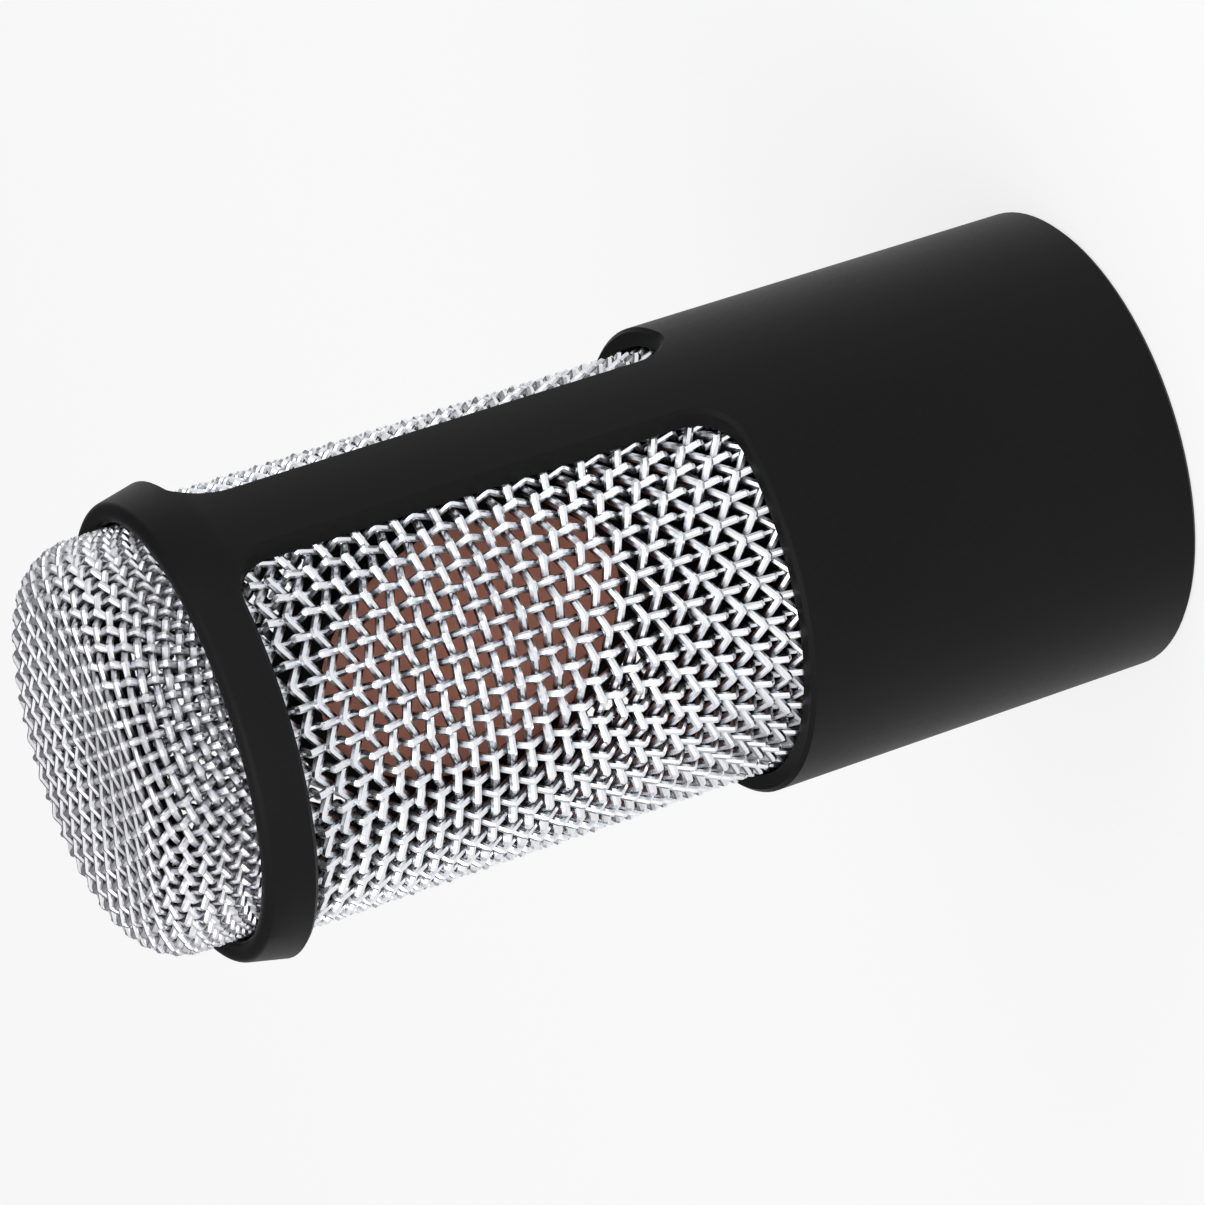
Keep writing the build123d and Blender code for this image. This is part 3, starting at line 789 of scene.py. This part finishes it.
@dataclass
class Studio:
    """The pale floor, the surroundings that are brighter on one side, the softboxes and the camera."""

    floor_radius: float = 6.0
    floor_tone: str = "#F8F8F8"
    floor_glow: float = 0.80
    surround: tuple[float, float] = (0.15, 1.25)
    bright_side: tuple[float, float] = (-60.0, 35.0)
    falloff: tuple[float, float] = (-0.4, 0.9)
    boxes: tuple[Softbox, ...] = (
        Softbox(-75, 48, 0.9, 0.7, 0.5, 2.6),
        Softbox(10, 35, 0.9, 0.5, 0.7, 1.3, "#F4F7FF"),
    )
    camera_azimuth: float = -46.182
    camera_elevation: float = 20.877
    camera_roll: float = -108.21
    camera_distance: float = 0.500574
    camera_aim: tuple[float, float, float] = (-0.000694, -0.000666, 0.053861)
    lens: float = 152.5

    def build_floor(self) -> bpy.types.Object:
        """Make a round floor: a fan of points at radius times cosine and sine, closed by one face."""
        angle = np.linspace(0, 2 * pi, FLOOR_SIDES, endpoint=False)
        points = self.floor_radius * np.stack([np.cos(angle), np.sin(angle), 0 * angle], 1)
        mesh = bpy.data.meshes.new("floor")
        mesh.from_pydata(points.tolist(), [], [list(range(len(angle)))])
        floor = bpy.data.objects.new("floor", mesh)
        bpy.context.collection.objects.link(floor)
        material = bpy.data.materials.new("painted_sweep_matt_white")
        material.use_nodes = True
        tree = material.node_tree
        tree.nodes.clear()
        tone = linear(self.floor_tone)
        paint = add_node(tree, "ShaderNodeBsdfDiffuse", {"Color": tone})
        glow = add_node(tree, "ShaderNodeEmission", {"Color": tone, "Strength": 1.0})
        mixed = add_node(
            tree, "ShaderNodeMixShader", {0: self.floor_glow, 1: paint.outputs[0], 2: glow.outputs[0]}
        )
        add_node(tree, "ShaderNodeOutputMaterial", {"Surface": mixed.outputs[0]})
        mesh.materials.append(material)
        return floor

    def build_surround(self) -> None:
        """Light the scene from a pale world that is brightest on one side and falls off smoothly.

        The strength rises with the cosine of the angle between a direction and the bright side.
        """
        world = bpy.data.worlds.new("studio")
        bpy.context.scene.world = world
        world.use_nodes = True
        tree = world.node_tree
        tree.nodes.clear()
        a, e = (radians(v) for v in self.bright_side)
        where = add_node(tree, "ShaderNodeTexCoord")
        facing = add_node(
            tree, "ShaderNodeVectorMath",
            {0: where.outputs["Generated"], 1: (cos(e) * cos(a), cos(e) * sin(a), sin(e))},
            operation="DOT_PRODUCT"
        )
        strength = add_node(
            tree, "ShaderNodeMapRange",
            {"Value": facing.outputs["Value"], "From Min": self.falloff[0], "From Max": self.falloff[1],
             "To Min": self.surround[0], "To Max": self.surround[1]}, interpolation_type="SMOOTHSTEP"
        )
        light = add_node(
            tree, "ShaderNodeBackground", {"Color": linear("#FFFFFF"), "Strength": strength.outputs[0]}
        )
        add_node(tree, "ShaderNodeOutputWorld", {"Surface": light.outputs[0]})

    def build_camera(self) -> None:
        """Stand the camera at its azimuth, elevation and distance from the aim point, then roll it."""
        data = bpy.data.cameras.new("camera")
        data.lens = self.lens
        data.sensor_width = 36.0
        data.clip_start = 0.01
        camera = bpy.data.objects.new("camera", data)
        a, e, roll = (radians(v) for v in (self.camera_azimuth, self.camera_elevation, self.camera_roll))
        back = Vector((cos(e) * cos(a), cos(e) * sin(a), sin(e)))
        level = (-back).cross(Vector((0, 0, 1))).normalized()
        upright = level.cross(-back)
        right = level * cos(roll) + upright * sin(roll)
        up = back.cross(right)
        turned = Matrix((right, up, back)).transposed().to_4x4()
        turned.translation = Vector(self.camera_aim) + back * self.camera_distance
        camera.matrix_world = turned
        bpy.context.collection.objects.link(camera)
        bpy.context.scene.camera = camera

    def build(self) -> None:
        """Set the whole studio up."""
        bpy.context.scene.view_settings.view_transform = "Standard"
        self.build_floor()
        self.build_surround()
        for number, box in enumerate(self.boxes, 1):
            box.build(number)
        self.build_camera()


# ---- the microphone ------------------------------------------------------------------------------


@dataclass
class Microphone:
    """The whole object: its woven pieces and the CAD nodes dressed in their finishes."""

    side: SideWeave = field(default_factory=SideWeave)
    dome: DomeWeave = field(default_factory=DomeWeave)
    crease: float = 32.0

    def dress_nodes(self, materials: dict[str, bpy.types.Material]) -> None:
        """Give every CAD node the finish of its slot.

        Args:
            materials: slot name to material.
        """
        for part in frame["record"]["subparts"]:
            node = frame["nodes"][part["node"]]
            material = materials[part["material_slot"]]
            if node.data.materials:
                node.data.materials[0] = material
            else:
                node.data.materials.append(material)

    def smooth_copy(self, name: str, node: str, slot: str, body: str, material: bpy.types.Material) -> None:
        """Stand a smooth-shaded copy in for a round CAD node.

        The copy's loose triangles are merged, and edges sharper than the crease angle stay sharp, so
        the shape is the same and only the shading runs smoothly round the curves.

        Args:
            name: the piece's name.
            node: the CAD node it stands for.
            slot: the record's material slot; not used.
            body: the body it rides on.
            material: its finish.
        """
        mesh = frame["nodes"][node].data.copy()
        mesh.name = name
        shape = bmesh.new()
        shape.from_mesh(mesh)
        bmesh.ops.remove_doubles(shape, verts=shape.verts, dist=MERGE_DISTANCE)
        shape.to_mesh(mesh)
        shape.free()
        if mesh.has_custom_normals:
            mesh.attributes.remove(mesh.attributes["custom_normal"])
        mesh.polygons.foreach_set("use_smooth", np.ones(len(mesh.polygons), bool))
        mesh.set_sharp_from_angle(angle=radians(self.crease))
        piece = bpy.data.objects.new(name, mesh)
        bpy.context.collection.objects.link(piece)
        mesh.materials.clear()
        mesh.materials.append(material)
        self.hand_over(piece, slot, body, node)

    def hand_over(self, piece: bpy.types.Object, slot: str, body: str, *nodes: str) -> None:
        """Hang a piece on its body's empty and hide the nodes it stands for."""
        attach(piece, body)
        if nodes:
            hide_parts(*nodes)
        log.info("%s rides on %s with %d faces", piece.name, body, len(piece.data.polygons))

    def build(self) -> None:
        """Build and dress every piece."""
        materials = {slot: finish.build() for slot, finish in SLOTS.items()}
        self.dress_nodes(materials)
        hoops, uprights = self.side.build_hoops(), self.side.build_uprights()
        warp, weft = self.dome.build()
        # the dome's wires take a greyer copy of the steel whose extra darkness is painted shade
        dome_wire_shaded = DOME_WIRE_WITH_PAINTED_SHADE.build()
        for piece, material in ((hoops, materials["mesh_steel"]), (uprights, materials["mesh_steel"]),
                                (warp, dome_wire_shaded), (weft, dome_wire_shaded)):
            piece.data.materials.append(material)
        self.hand_over(hoops, "mesh_steel", "sleeve", "side_mesh")
        self.hand_over(uprights, "mesh_steel", "sleeve", "side_mesh")
        self.hand_over(warp, "mesh_steel", "sleeve", "dome_mesh")
        self.hand_over(weft, "mesh_steel", "sleeve", "dome_mesh")
        bodies = frame["record"]["behaviour"]["bodies"]
        body_of = {node: body for body, nodes in bodies.items() for node in nodes}
        for part in frame["record"]["subparts"]:
            node, slot = part["node"], part["material_slot"]
            if node not in ("side_mesh", "dome_mesh"):
                self.smooth_copy(f"{node}_finished", node, slot, body_of[node], materials[slot])


def main() -> None:
    """Build the studio and the microphone."""
    logging.basicConfig(level=logging.INFO, format="%(name)s: %(message)s")
    Studio().build()
    Microphone().build()


if __name__ == "__main__":
    main()
